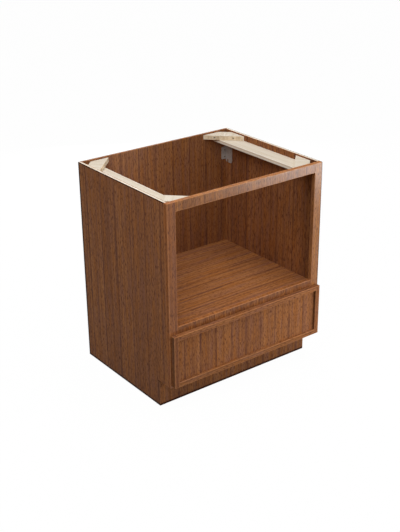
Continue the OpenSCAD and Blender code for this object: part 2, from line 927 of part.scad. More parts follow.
// A lever that turns on its own upright pin, with a rounded finger pad at its free end
module release_lever(side) {
    bar_l = lever_l - lever_pad_d / 2 + 1;
    color(zinc) hand(side) translate([open_x - lever_x, lever_y, base_z]) {
        translate([0, 0, lever_z]) linear_extrude(lever_t) {
            circle(d = lever_hub_d);
            translate([-lever_w / 2, 0]) square([lever_w, bar_l]);
            translate([-2, bar_l]) circle(d = lever_pad_d);
        }
        translate([0, 0, clip_z + 0.5]) cylinder(h = lever_pin_h, d = pivot_d);
    }
}

module left_release_lever() release_lever(-1);
module right_release_lever() release_lever(1);

// ---- Assembly ----

left_side_panel();
right_side_panel();
back_panel();
cabinet_floor();
microwave_shelf();
toe_kick_board();
left_stile();
right_stile();
top_rail();
middle_rail();
bottom_rail();
left_brace();
right_brace();
back_left_corner_block();
back_right_corner_block();
front_left_corner_block();
front_right_corner_block();
upper_left_bracket();
upper_right_bracket();
lower_left_bracket();
lower_right_bracket();
left_fixed_channel();
right_fixed_channel();
left_middle_member();
right_middle_member();
left_drawer_member();
right_drawer_member();
left_lower_ball_cage();
right_lower_ball_cage();
left_upper_ball_cage();
right_upper_ball_cage();
drawer_left_side();
drawer_right_side();
drawer_box_front();
drawer_box_back();
drawer_bottom();
front_left_stile();
front_right_stile();
front_top_rail();
front_bottom_rail();
front_panel();
front_bumpers();
left_locking_clip();
right_locking_clip();
left_release_lever();
right_release_lever();
corner_block_screws();
bracket_screws();
runner_screws();
drawer_front_screws();
clip_screws();
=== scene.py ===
"""A microwave base cabinet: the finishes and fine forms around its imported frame.

Everything is in metres, +Z up, the front towards -Y, the origin on the floor under the
middle of the cabinet. Boards, plates and screws are finer copies of the frame's nodes.
"""

from __future__ import annotations

import logging
import math
import random
from dataclasses import dataclass, replace
from enum import Enum
from typing import Any, Mapping, Sequence, Union

import bmesh
import bpy
from mathutils import Color, Matrix, Vector


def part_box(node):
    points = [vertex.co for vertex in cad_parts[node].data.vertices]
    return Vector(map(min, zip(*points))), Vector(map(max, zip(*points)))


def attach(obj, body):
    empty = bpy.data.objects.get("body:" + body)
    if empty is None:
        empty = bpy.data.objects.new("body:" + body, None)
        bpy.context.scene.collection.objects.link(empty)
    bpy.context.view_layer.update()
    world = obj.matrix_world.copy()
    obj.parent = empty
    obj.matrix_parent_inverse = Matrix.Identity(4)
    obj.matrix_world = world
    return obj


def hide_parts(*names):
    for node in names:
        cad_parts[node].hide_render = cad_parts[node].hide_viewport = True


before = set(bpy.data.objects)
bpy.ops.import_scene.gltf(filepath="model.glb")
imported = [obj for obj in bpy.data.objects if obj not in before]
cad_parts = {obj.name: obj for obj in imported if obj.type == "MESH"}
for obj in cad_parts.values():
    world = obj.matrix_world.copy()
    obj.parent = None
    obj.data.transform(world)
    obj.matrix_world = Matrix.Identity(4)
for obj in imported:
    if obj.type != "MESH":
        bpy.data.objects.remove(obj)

LOG = logging.getLogger("cabinet")
MM = 0.001
HALF = 0.5
UP = (0, 0, 1)
FORWARD = (0, -1, 0)
HANDS = ("left", "right")
LEVELS = ("upper", "lower")

# Meshes: points within WELD are one and faces within FLAT radians are flat, edges above CORNER are
# eased, shading breaks above CREASE, and a face with more than ROUND corners is a round end
WELD = 0.00001
FLAT = 0.01
CORNER = 0.7
EASE_STEPS = 3
CREASE = math.radians(35)
ROUND = 8

Socket = Union[int, str]
Material = bpy.types.Material
Span = tuple[float, float]
Triple = tuple[float, float, float]
Rgba = tuple[float, float, float, float]

WHITE: Rgba = (1.0, 1.0, 1.0, 1.0)


def tint(red: int, green: int, blue: int) -> Rgba:
    """Turn a screen colour, 0 to 255 a channel, into a linear one."""
    return (*Color((red / 255, green / 255, blue / 255)).from_srgb_to_scene_linear(), 1.0)


# ---- Shader graph ----


class Wire:
    """An output socket that takes part in arithmetic; each operator adds a Math node."""

    def __init__(self, graph: Graph, node: bpy.types.Node, output: Socket) -> None:
        """Wrap one output of a node.

        Args:
            graph: The graph that holds the node.
            node: The node.
            output: The output's name or place; the node that ends a graph has none.
        """
        self.graph = graph
        self.node = node
        self.socket = node.outputs[output] if node.outputs else None

    def out(self, output: Socket) -> Wire:
        """Another output of the same node."""
        return Wire(self.graph, self.node, output)

    def math(self, operation: str, *values: Value) -> Wire:
        """Join values in one Math node."""
        return self.graph.node("ShaderNodeMath", {"operation": operation}, dict(enumerate(values)))

    def __add__(self, other: Value) -> Wire:
        """self + other."""
        return self.math("ADD", self, other)

    __radd__ = __add__

    def __sub__(self, other: Value) -> Wire:
        """self - other."""
        return self.math("SUBTRACT", self, other)

    def __rsub__(self, other: Value) -> Wire:
        """other - self."""
        return self.math("SUBTRACT", other, self)

    def __mul__(self, other: Value) -> Wire:
        """self * other."""
        return self.math("MULTIPLY", self, other)

    __rmul__ = __mul__

    def __truediv__(self, other: Value) -> Wire:
        """self / other."""
        return self.math("DIVIDE", self, other)

    def __rtruediv__(self, other: Value) -> Wire:
        """other / self."""
        return self.math("DIVIDE", other, self)

    def __abs__(self) -> Wire:
        """The distance from zero."""
        return self.math("ABSOLUTE", self)

    def least(self, other: Value) -> Wire:
        """The smaller of the two."""
        return self.math("MINIMUM", self, other)

    def most(self, other: Value) -> Wire:
        """The larger of the two."""
        return self.math("MAXIMUM", self, other)

    def whole(self) -> Wire:
        """The whole number below."""
        return self.math("FLOOR", self)

    def rest(self) -> Wire:
        """What is left above the whole number."""
        return self.math("FRACT", self)

    def swing(self, share: float) -> Wire:
        """How far a noise is from its middle, times a share."""
        return (self - HALF) * share

    def ramp(self, start: float, end: float, low: float = 0.0, high: float = 1.0) -> Wire:
        """Go smoothly from low to high as the value goes from start to end.

        Args:
            start: The value where the result is low.
            end: The value where the result is high; it may lie below start.
            low: The result before start.
            high: The result after end.

        Returns:
            The eased value.
        """
        return self.graph.node(
            "ShaderNodeMapRange", {"interpolation_type": "SMOOTHSTEP"},
            {"Value": self, "From Min": start, "From Max": end, "To Min": low, "To Max": high})


Value = Union[Wire, float, Sequence[float]]


class Graph:
    """A node tree being wired: the graph of one material or of the world."""

    def __init__(self, owner: Union[Material, bpy.types.World]) -> None:
        """Empty the owner's node tree.

        Args:
            owner: The material or world that the graph belongs to.
        """
        owner.use_nodes = True
        self.owner = owner
        self.tree = owner.node_tree
        self.tree.nodes.clear()

    def node(self, kind: str, settings: Mapping[str, Any], values: Mapping[Socket, Value],
             output: Socket = 0) -> Wire:
        """Add a node.

        Args:
            kind: The node's type.
            settings: Its settings, set before its sockets; "stops" fills a colour ramp.
            values: Numbers, colours or wires for its input sockets, by name or place.
            output: The output that the result stands for.

        Returns:
            A wire from that output.
        """
        made = self.tree.nodes.new(kind)
        for setting, choice in settings.items():
            if setting == "stops":
                self._set_stops(made.color_ramp, choice)
            else:
                setattr(made, setting, choice)
        for place, value in values.items():
            if isinstance(value, Wire):
                self.tree.links.new(value.socket, made.inputs[place])
            else:
                made.inputs[place].default_value = value
        return Wire(self, made, output)

    @staticmethod
    def _set_stops(ramp: bpy.types.ColorRamp, stops: Sequence[tuple[float, Rgba]]) -> None:
        """Give a colour ramp its stops.

        Args:
            ramp: The ramp, which has two stops when it is new.
            stops: The place and the colour of each stop, in order.
        """
        while len(ramp.elements) < len(stops):
            ramp.elements.new(1.0)
        for element, (position, colour) in zip(ramp.elements, stops):
            element.position = position
            element.color = colour

    def surface(self, sockets: Mapping[str, Value]) -> Material:
        """End a material in one Principled shader with these sockets."""
        shader = self.node("ShaderNodeBsdfPrincipled", {}, sockets)
        return self.end("ShaderNodeOutputMaterial", shader)

    def end(self, kind: str, shader: Wire) -> Union[Material, bpy.types.World]:
        """Wire a shader to the graph's output node and hand back the owner."""
        self.node(kind, {}, {"Surface": shader})
        return self.owner

    def point(self) -> Wire:
        """The place on the piece, in metres of the row frame at rest."""
        return self.node("ShaderNodeTexCoord", {}, {}, "Object")

    def dot(self, vector: Wire, axis: Value) -> Wire:
        """How far a vector reaches along an axis."""
        return self.node("ShaderNodeVectorMath", {"operation": "DOT_PRODUCT"},
                         {0: vector, 1: axis}, "Value")

    def vector(self, x: Value, y: Value, z: Value) -> Wire:
        """Join three numbers."""
        return self.node("ShaderNodeCombineXYZ", {}, {0: x, 1: y, 2: z})

    def scaled(self, vector: Wire, factor: Value) -> Wire:
        """A vector or colour with all its parts multiplied by one number."""
        return self.node("ShaderNodeVectorMath", {"operation": "SCALE"}, {0: vector, "Scale": factor})

    def noise(self, at: Wire, detail: float = 3.0, roughness: float = 0.5) -> Wire:
        """Soft noise, mostly between 0.3 and 0.7, on points that are already scaled."""
        return self.node("ShaderNodeTexNoise", {}, {
            "Vector": at, "Scale": 1.0, "Detail": detail, "Roughness": roughness})

    def chance(self, number: Wire) -> Wire:
        """A random number from 0 to 1 for each whole number."""
        return self.node("ShaderNodeTexWhiteNoise", {"noise_dimensions": "1D"}, {"W": number})

    def mix(self, share: Value, first: Value, second: Value, way: str = "MIX") -> Wire:
        """Mix two colours; the share says how much of the second one shows."""
        return self.node("ShaderNodeMix", {"data_type": "RGBA", "blend_type": way},
                         {0: share, 6: first, 7: second}, 2)

    def bump(self, height: Wire, distance: float, strength: float) -> Wire:
        """Tilt the normal as a relief of that height, in metres, would."""
        return self.node("ShaderNodeBump", {},
                         {"Height": height, "Distance": distance, "Strength": strength})


# ---- Finishes ----


class Lay(Enum):
    """How a board lies: the directions along its grain, across its width and through it."""

    UP_WIDE = ((0, 0, 1), (1, 0, 0), (0, 1, 0))
    UP_DEEP = ((0, 0, 1), (0, 1, 0), (1, 0, 0))
    WIDE_FLAT = ((1, 0, 0), (0, 1, 0), (0, 0, 1))
    WIDE_UPRIGHT = ((1, 0, 0), (0, 0, 1), (0, 1, 0))
    DEEP_FLAT = ((0, 1, 0), (1, 0, 0), (0, 0, 1))
    DEEP_UPRIGHT = ((0, 1, 0), (0, 0, 1), (1, 0, 0))
    DIAGONAL_RISING = ((0.7071, 0.7071, 0), (0.7071, -0.7071, 0), (0, 0, 1))
    DIAGONAL_FALLING = ((-0.7071, 0.7071, 0), (0.7071, 0.7071, 0), (0, 0, 1))


class Side(Enum):
    """A board's sides, by their place among the directions of its lay."""

    END = 0
    EDGE = 1
    FACE = 2


class Rim(Enum):
    """A rim with a line of painted shade along it: the way that it faces and its line's share of the
    width.
    """

    FOOT = ((0, 0, -1), 1.0)
    TOP = ((0, 0, 1), 0.4)
    REAR = ((0, 1, 0), 1.0)
    RIGHT = ((1, 0, 0), 1.0)


@dataclass(frozen=True)
class Figure:
    """Noise drawn out along the grain: its features to the metre across and along, and a shift that
    sets it apart from other layers."""

    across: float
    along: float
    shift: float = 0.0
    detail: float = 3.0
    roughness: float = 0.6


class Grain(Graph):
    """The graph of one board's material, with the place on the board taken apart along its grain."""

    seeds: float = 40.0
    turned: Span = (0.6, 0.8)

    def __init__(self, name: str, lay: Lay, low: Vector, high: Vector) -> None:
        """Wire the place on the board.

        Args:
            name: The board's name, which also seeds its figure.
            lay: How the board lies.
            low: The board's lowest corner.
            high: The board's highest corner.
        """
        super().__init__(bpy.data.materials.new(name))
        self.lay, self.low, self.high = lay, low, high
        self.seed = random.Random(name).uniform(0, self.seeds)
        self.place = self.point()
        self.facing = self.place.out("Normal")
        self.along, self.across, self.through = (self.dot(self.place, axis) for axis in lay.value)

    def layer(self, figure: Figure) -> Wire:
        """Wire one layer of the board's figure.

        Args:
            figure: The layer.

        Returns:
            The layer's noise.
        """
        at = self.vector(self.across * figure.across + (self.seed + figure.shift),
                         self.through * figure.across, self.along * figure.along)
        return self.noise(at, figure.detail, figure.roughness)

    def sides(self, side: Side) -> Wire:
        """1 on the board's ends, edges or faces."""
        return abs(self.dot(self.facing, self.lay.value[side.value])).ramp(*self.turned)

    def thickness(self) -> list[float]:
        """Where the board starts and ends, measured through it."""
        axis = Vector(self.lay.value[Side.FACE.value])
        return sorted((self.low.dot(axis), self.high.dot(axis)))

    def borders(self, reach: float) -> Wire:
        """Find where two faces of the board meet.

        Args:
            reach: How far in from there the mask goes.

        Returns:
            1 where two faces meet, 0 beyond the reach.
        """
        parts = self.node("ShaderNodeSeparateXYZ", {}, {0: self.place})
        gap_x, gap_y, gap_z = (
            (high - low) / 2 - abs(parts.out(axis) - (low + high) / 2)
            for axis, (low, high) in enumerate(zip(self.low, self.high)))
        second_nearest = gap_x.least(gap_y).most(gap_x.most(gap_y).least(gap_z))
        return second_nearest.ramp(reach, 0.0)


@dataclass(frozen=True)
class StainedWood:
    """Walnut-stained wood or veneer under satin lacquer."""

    # The colours of the wood, of what lies over it with a painted edge highlight, of its bare core and of
    # painted shade
    light: Rgba = tint(174, 117, 72)
    middle: Rgba = tint(140, 90, 58)
    dark: Rgba = tint(104, 62, 39)
    orange: Rgba = tint(150, 91, 45)
    mauve: Rgba = tint(132, 88, 70)
    streak: Rgba = tint(82, 49, 44)
    speck: Rgba = tint(92, 54, 38)
    pore: Rgba = tint(70, 40, 28)
    # painted highlight along the eased edges
    eased_highlight: Rgba = tint(205, 140, 90)
    raw: Rgba = tint(232, 220, 204)
    raw_fibre: Rgba = tint(212, 194, 170)
    # painted shade, in the pocket behind the face frame and along the rims
    painted_shade: Rgba = tint(52, 21, 5)

    # What the colour is multiplied by: everywhere, on the edges as painted shade and on the ends as
    # painted light
    tone: Triple = (1.05, 1.055, 0.995)
    side_tone: float = 1.0
    painted_end_light: float = 1.0

    # The layers of figure
    broad: Figure = Figure(30, 0.8, detail=4)
    bands: Figure = Figure(150, 1.2, 5)
    fine: Figure = Figure(230, 9, 3)
    specks: Figure = Figure(330, 62, 7, roughness=0.5)
    pores: Figure = Figure(900, 70, 11, 1, 0.5)
    hues: Figure = Figure(70, 8, 19)
    wander: Figure = Figure(4, 2.4, 23, 2, 0.5)
    swell: Figure = Figure(9, 6, 29, 1, 0.5)
    fading: Figure = Figure(40, 22, 31, roughness=0.5)

    # How strongly the layers and the leaves change the tone, and where the tone's colours stand
    broad_share: float = 0.6
    banding: float = 1.0
    fine_share: float = 0.3
    speck_share: float = 0.5
    leaf_share: float = 0.1
    tones: Triple = (0.15, 0.5, 0.85)

    # Where each noise starts to show its colour and where it is full, and how strong that is
    pore_span: Span = (0.58, 0.68)
    pore_depth: float = 0.3
    orange_span: Span = (0.5, 0.66)
    mauve_span: Span = (0.5, 0.34)
    hue_depth: float = 0.6
    speck_span: Span = (0.47, 0.34)
    speckle: float = 0.9

    # Veneer leaves: their width, where one starts and how far the joints wander
    leaf: float = 0.1025
    leaf_start: float = 0.0
    sway: float = 0.014

    # The streak at a joint: its width, soft side and depth, the faintest one's share and how it
    # fades on its way; the streak in mid leaf has a share of the width and of the depth
    widths: Span = (3.0 * MM, 7.5 * MM)
    swell_span: Span = (0.3, 0.7)
    soft_span: Span = (0.0, 0.7)
    streak_depth: float = 0.8
    faintest: float = 0.55
    faint_shift: float = 7.0
    fade_span: Span = (0.32, 0.6)
    fades: Span = (0.4, 1.0)
    mid_width: float = 0.7
    mid_depth: float = 0.4

    # Painted highlight along the eased edges: its reach, its depth and what shows of it between the
    # specks
    eased_highlight_reach: float = 2.0 * MM
    eased_highlight_depth: float = 0.45
    eased_highlight_base: float = 0.35

    # Painted shade along the rims: the rims, the line's width, where it ends in widths, and its depth
    rims: tuple[Rim, ...] = ()
    rim_width: float = 6.5 * MM
    rim_end: float = 1.7
    rim_depth: float = 0.94

    # Painted shade in the pocket behind the face frame: its depth, where it ends and is full behind the
    # front edge, and how far from the outer face the inner one starts
    pocket_shade: float = 0.0
    pocket_span: Span = (0.09, 0.035)
    inner_span: Span = (2 * MM, 4 * MM)

    # A bare top edge between two veneers
    raw_top: bool = False
    raw_span: Span = (0.3, 0.75)
    top_span: Span = (2 * MM, 1 * MM)
    veneer: float = 2.3 * MM
    veneer_blur: float = 0.4 * MM

    # Relief, its height and strength, and lacquer
    relief: Span = (0.12 * MM, 0.6)
    relief_fine: float = 0.5
    relief_specks: float = 0.35
    roughness: float = 0.48
    rough_fine: float = 0.3
    rough_pores: float = 0.15
    wood_ior: float = 1.05
    gloss: float = 0.06
    front_gloss: float = 0.0
    front_span: Span = (0.3, 0.9)
    coat_roughness: float = 0.23
    coat_ior: float = 1.5

    def build(self, g: Grain) -> Material:
        """Make the material of one board.

        Args:
            g: The board's graph.

        Returns:
            The material.
        """
        fine, specks = g.layer(self.fine), g.layer(self.specks)
        pores = g.layer(self.pores).ramp(*self.pore_span)
        colour = self._paint_shade(g, self._stain(g, fine, specks, pores))
        if self.raw_top:
            wood = g.mix(fine.ramp(*self.raw_span), self.raw, self.raw_fibre)
            colour = g.mix(self._core(g), colour, wood)
        relief = fine * self.relief_fine + specks * self.relief_specks - pores
        front = g.dot(g.facing, FORWARD).ramp(*self.front_span)
        return g.surface({
            "Base Color": colour, "IOR": self.wood_ior,
            "Roughness": self.roughness + fine.swing(self.rough_fine) + pores * self.rough_pores,
            "Normal": g.bump(relief, *self.relief),
            "Coat Weight": self.gloss + front * self.front_gloss,
            "Coat Roughness": self.coat_roughness, "Coat IOR": self.coat_ior})

    def _stain(self, g: Grain, fine: Wire, specks: Wire, pores: Wire) -> Wire:
        """The stained figure with its leaves and a painted highlight along the eased edges.

        Args:
            g: The board's graph.
            fine: The fine layer.
            specks: The layer of short dashes.
            pores: 1 in the pores.

        Returns:
            The colour.
        """
        leaf_tone, streaks = self._leaves(g)
        tone = (HALF + g.layer(self.broad).swing(self.broad_share)
                + g.layer(self.bands).swing(self.banding) + fine.swing(self.fine_share)
                + specks.swing(self.speck_share * self.speckle) + leaf_tone.swing(self.leaf_share))
        stops = list(zip(self.tones, (self.dark, self.middle, self.light)))
        colour = g.node("ShaderNodeValToRGB", {"stops": stops}, {0: tone})
        hues = g.layer(self.hues)
        for mask, over in ((hues.ramp(*self.orange_span) * self.hue_depth, self.orange),
                           (hues.ramp(*self.mauve_span) * self.hue_depth, self.mauve),
                           (streaks * self.streak_depth, self.streak),
                           (specks.ramp(*self.speck_span) * self.speckle, self.speck),
                           (pores * self.pore_depth, self.pore)):
            colour = g.mix(mask, colour, over)
        # edges darkened as painted shade, ends lightened as painted light
        colour = g.scaled(colour, g.sides(Side.EDGE) * (self.side_tone - 1.0)
                          + g.sides(Side.END) * (self.painted_end_light - 1.0) + 1.0)
        colour = g.mix(1.0, colour, (*self.tone, 1.0), "MULTIPLY")
        # painted highlight along the eased edges, broken by the specks
        eased_highlight = g.borders(self.eased_highlight_reach) * (self.eased_highlight_base + specks)
        return g.mix(eased_highlight * self.eased_highlight_depth, colour, self.eased_highlight)

    def _leaves(self, g: Grain) -> tuple[Wire, Wire]:
        """Lay veneer leaves side by side.

        Args:
            g: The board's graph.

        Returns:
            The tone of each leaf, and the dark wavering streaks where leaves meet.
        """
        place = (g.across + g.layer(self.wander).swing(self.sway) - self.leaf_start) / self.leaf
        leaf_tone = g.chance(place.whole() + g.seed)
        share = place.rest()
        chance = g.chance((place + HALF).whole() + (g.seed + self.faint_shift))
        strength = chance * (1 - self.faintest) + self.faintest
        width = g.layer(self.swell).ramp(*self.swell_span, *self.widths)
        line = self._line(share.least(1 - share), width)
        mid_line = self._line(abs(share - HALF), width * self.mid_width)
        fading = g.layer(self.fading).ramp(*self.fade_span, *self.fades)
        return leaf_tone, line.most(mid_line * self.mid_depth) * strength * fading

    def _line(self, gap: Wire, width: Wire) -> Wire:
        """1 where the gap, in leaves, is nothing, and 0 beyond the line's width."""
        return (1 - gap * self.leaf / width).most(0).ramp(*self.soft_span)

    def _paint_shade(self, g: Grain, colour: Wire) -> Wire:
        """Paint shade into the pocket behind the face frame, and along the rims of the outer face.

        Args:
            g: The board's graph.
            colour: The colour so far.

        Returns:
            The colour with its gathered stain.
        """
        depth = self.rim_depth
        if self.pocket_shade:
            outer = max(abs(g.low.x), abs(g.high.x))
            inner = abs(g.through).ramp(*(outer - gap for gap in self.inner_span))
            shade = g.across.ramp(*(g.low.y + reach for reach in self.pocket_span)) * self.pocket_shade
            # painted shade on the inner face just behind the face frame
            colour = g.mix(shade * inner, colour, self.painted_shade)
            depth = (1 - inner) * self.rim_depth
        for rim in self.rims:
            way, share = rim.value
            corner, width = g.high if max(way) > 0 else g.low, self.rim_width * share
            gap = corner.dot(Vector(way)) - g.dot(g.place, way)
            # a line of painted shade along the rim
            colour = g.mix(gap.ramp(self.rim_end * width, width) * depth, colour, self.painted_shade)
        return colour

    def _core(self, g: Grain) -> Wire:
        """The bare core that shows in a panel's top edge between its two veneers.

        Args:
            g: The board's graph.

        Returns:
            1 on the bare core.
        """
        start, end = g.thickness()
        depth = (end - start) / 2 - abs(g.through - (start + end) / 2)
        height = g.dot(g.place, UP).ramp(*(g.high.z - gap for gap in self.top_span))
        top = g.dot(g.facing, UP).ramp(*g.turned) * height
        return top * depth.ramp(self.veneer - self.veneer_blur, self.veneer + self.veneer_blur)


@dataclass(frozen=True)
class RawWood:
    """Pale wood without stain: plywood in layers, or solid with its end grain showing."""

    # The colours, the number of plies, none in solid wood, and how much lacquer there is
    face: Rgba = tint(208, 197, 181)
    line: Rgba = tint(192, 176, 152)
    end: Rgba = tint(232, 212, 182)
    ring: Rgba = tint(204, 178, 142)
    fleck: Rgba = tint(176, 146, 110)
    ply: Rgba = tint(230, 210, 182)
    glue: Rgba = tint(140, 106, 74)
    # the pale plies of a cut edge, and the painted highlight along all edges
    edge: Rgba = tint(242, 232, 218)
    layers: int = 0
    lacquer: float = 0.0

    # The layers of figure, where each starts to show and is full, and how strong that is
    figure: Figure = Figure(46, 2.2, detail=4)
    figure_span: Span = (0.42, 0.7)
    figure_depth: float = 0.75
    fibre: Figure = Figure(420, 16, 3)
    fibre_span: Span = (0.5, 0.8)
    fibre_depth: float = 0.45
    flecks: Figure = Figure(700, 130, 9, 1, 0.5)
    fleck_span: Span = (0.62, 0.7)
    fleck_depth: float = 0.25

    # End grain: rings to the metre across and through, their span and depth
    rings: Span = (120, 26)
    ring_span: Span = (0.42, 0.7)
    ring_depth: float = 0.8

    # Cut plies: how far they waver, where a cross ply and a glue line stand from the middle
    # of a pair of plies and of a ply, and the glue's depth
    waver: float = 0.25
    cross_span: Span = (0.22, 0.28)
    seam_span: Span = (0.4, 0.48)
    seam_depth: float = 0.6

    # Painted highlight along the edges, relief, its height and strength, and lacquer
    highlight_reach: float = 4.5 * MM
    highlight_depth: float = 0.8
    relief: Span = (0.1 * MM, 0.5)
    relief_flecks: float = 0.6
    roughness: float = 0.62
    rough_fibre: float = 0.3
    lacquer_smooths: float = 0.25
    wood_ior: float = 1.15
    lacquer_ior: float = 0.2

    def build(self, g: Grain) -> Material:
        """Make the material of one board.

        Args:
            g: The board's graph.

        Returns:
            The material.
        """
        fibre = g.layer(self.fibre)
        flecks = g.layer(self.flecks).ramp(*self.fleck_span)
        lines = g.layer(self.figure).ramp(*self.figure_span)
        colour = g.mix(lines * self.figure_depth, self.face, self.line)
        colour = g.mix(fibre.ramp(*self.fibre_span) * self.fibre_depth, colour, self.line)
        colour = g.mix(flecks * self.fleck_depth, colour, self.fleck)
        if self.layers:
            colour = g.mix(1 - g.sides(Side.FACE), colour, self._plies(g, fibre))
        else:
            across, through = self.rings
            at = g.vector(g.across * across + g.seed, g.through * through, 0)
            rings = g.mix(g.noise(at).ramp(*self.ring_span) * self.ring_depth, self.end, self.ring)
            colour = g.mix(g.sides(Side.END), colour, rings)
        # painted highlight along the edges
        colour = g.mix(g.borders(self.highlight_reach) * self.highlight_depth, colour, self.edge)
        relief = fibre - flecks * self.relief_flecks
        rough = self.roughness + fibre.swing(self.rough_fibre)
        return g.surface({
            "Base Color": colour, "Roughness": rough - self.lacquer * self.lacquer_smooths,
            "IOR": self.wood_ior + self.lacquer * self.lacquer_ior,
            "Normal": g.bump(relief, *self.relief)})

    def _plies(self, g: Grain, fibre: Wire) -> Wire:
        """The cut edge of the plywood: pale plies and brown cross plies.

        Args:
            g: The board's graph.
            fibre: Fine noise along the grain.

        Returns:
            The edge's colour.
        """
        start, end = g.thickness()
        layer = (g.through - start) / ((end - start) / self.layers) + fibre.swing(self.waver)
        crossed = abs((layer * HALF).rest() - HALF).ramp(*self.cross_span)
        seams = abs(layer.rest() - HALF).ramp(*self.seam_span)
        return g.mix(seams * self.seam_depth, g.mix(crossed, self.edge, self.ply), self.glue)


@dataclass(frozen=True)
class Steel:
    """Pressed or rolled steel with a zinc or painted skin."""

    base: Rgba
    shade: Rgba
    rim: Rgba
    metallic: float = 1.0
    roughness: float = 0.36

    # Rolling lines: their number to the metre and its share in each direction
    lines: float = 900
    draw: Triple = (1.0, 0.06, 1.0)
    line_roughness: float = 0.7

    # Spangle and smudges: their number to the metre and how strongly they show
    spangle: float = 260.0
    spangle_depth: float = 0.14
    smudge: float = 55.0
    smudge_span: Span = (0.38, 0.66)
    smudge_depth: float = 0.5

    # Brighter rims: the radius that finds them, their span and depth
    rim_samples: int = 4
    rim_radius: float = 0.7 * MM
    rim_span: Span = (0.02, 0.2)
    rim_depth: float = 0.7

    # Relief, its height and strength, and roughness
    relief: Span = (0.03 * MM, 0.5)
    relief_smudge: float = 0.5
    rough_lines: float = 0.25
    rough_smudge: float = 0.18

    def build(self, name: str) -> Material:
        """Make the material, with rolling lines, faint spangle and brighter rims.

        Args:
            name: The material's name.

        Returns:
            The material.
        """
        g = Graph(bpy.data.materials.new(name))
        point = g.point()
        drawn = g.node("ShaderNodeVectorMath", {"operation": "MULTIPLY"},
                       {0: point, 1: tuple(self.lines * share for share in self.draw)})
        lines = g.noise(drawn, roughness=self.line_roughness)
        cells = g.node("ShaderNodeTexVoronoi", {}, {"Vector": point, "Scale": self.spangle}, "Color")
        spangle = g.node("ShaderNodeSeparateColor", {}, {0: cells})
        smudge = g.noise(g.scaled(point, self.smudge))
        colour = g.mix(smudge.ramp(*self.smudge_span) * self.smudge_depth, self.base, self.shade)
        colour = g.mix(spangle * self.spangle_depth, colour, self.rim)
        rounded = g.node("ShaderNodeBevel", {"samples": self.rim_samples}, {"Radius": self.rim_radius})
        flat = g.node("ShaderNodeNewGeometry", {}, {}, "Normal")
        rims = (1 - g.dot(rounded, flat)).ramp(*self.rim_span)
        colour = g.mix(rims * self.rim_depth, colour, self.rim)
        relief = g.bump(lines + smudge * self.relief_smudge, *self.relief)
        rough = self.roughness + lines.swing(self.rough_lines) + smudge.swing(self.rough_smudge)
        return g.surface({"Base Color": colour, "Metallic": self.metallic, "Normal": relief,
                          "Roughness": rough})


@dataclass(frozen=True)
class Moulded:
    """Moulded plastic or rubber with a fine sparked skin."""

    base: Rgba
    shade: Rgba
    roughness: float = 0.45

    # The skin's height and strength
    skin: Span = (0.05 * MM, 0.6)

    # Flow marks and sparks: their number to the metre and how much they roughen
    flow: float = 70.0
    flow_span: Span = (0.35, 0.7)
    rough_flow: float = 0.25
    spark: float = 2600.0
    spark_detail: float = 2
    rough_spark: float = 0.2

    def build(self, name: str) -> Material:
        """Make the material, with flow marks and a fine skin.

        Args:
            name: The material's name.

        Returns:
            The material.
        """
        g = Graph(bpy.data.materials.new(name))
        point = g.point()
        flow = g.noise(g.scaled(point, self.flow))
        spark = g.noise(g.scaled(point, self.spark), self.spark_detail)
        return g.surface({
            "Base Color": g.mix(flow.ramp(*self.flow_span), self.base, self.shade),
            "Normal": g.bump(spark, *self.skin),
            "Roughness": self.roughness + flow.swing(self.rough_flow) + spark.swing(self.rough_spark)})


# ---- Pieces ----


@dataclass
class SubAssembly:
    """A group of pieces that ride on one body, each a finer copy of its node."""

    body: str
    slot: str
    ease: float = 0.4 * MM

    @staticmethod
    def cleaned(node: str) -> bmesh.types.BMesh:
        """Copy a node's shape with its flat faces whole.

        Args:
            node: The node's name.

        Returns:
            The copy.
        """
        shape = bmesh.new()
        shape.from_mesh(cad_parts[node].data)
        bmesh.ops.remove_doubles(shape, verts=shape.verts, dist=WELD)
        bmesh.ops.dissolve_limit(shape, angle_limit=FLAT, verts=shape.verts, edges=shape.edges)
        return shape

    def finer(self, node: str, material: Material, shortest: float = 2.5 * MM) -> None:
        """Replace a node by a copy with its long outer edges eased.

        Args:
            node: The node's name.
            material: The copy's material.
            shortest: The length of the shortest edge that is eased.
        """
        shape = self.cleaned(node)
        sharp = [edge for edge in shape.edges
                 if edge.is_manifold and edge.is_convex and edge.calc_length() > shortest
                 and edge.calc_face_angle() > CORNER]
        bmesh.ops.bevel(shape, geom=sharp, offset=self.ease, segments=EASE_STEPS, profile=HALF,
                        affect="EDGES", clamp_overlap=False)
        bmesh.ops.remove_doubles(shape, verts=shape.verts, dist=WELD)
        bmesh.ops.dissolve_degenerate(shape, edges=shape.edges, dist=WELD)
        self.place(shape, node, material)

    def place(self, shape: bmesh.types.BMesh, node: str, material: Material) -> None:
        """Put a finished shape in the scene in place of a node.

        Args:
            shape: The shape, which is freed.
            node: The node that the piece replaces.
            material: The piece's one material.
        """
        for face in shape.faces:
            face.smooth = True
        mesh = bpy.data.meshes.new(f"{node}_finished")
        shape.to_mesh(mesh)
        shape.free()
        mesh.set_sharp_from_angle(angle=CREASE)
        mesh.materials.append(material)
        piece = bpy.data.objects.new(mesh.name, mesh)
        bpy.context.scene.collection.objects.link(piece)
        softened = piece.modifiers.new("weighted_normals", "WEIGHTED_NORMAL")
        softened.keep_sharp = True
        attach(piece, self.body)
        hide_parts(node)
        LOG.info("%s replaces %s on %s", piece.name, node, self.body)

    def board(self, node: str, lay: Lay, finish: Union[StainedWood, RawWood]) -> None:
        """Make and dress one board."""
        self.finer(node, finish.build(Grain(node, lay, *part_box(node))))


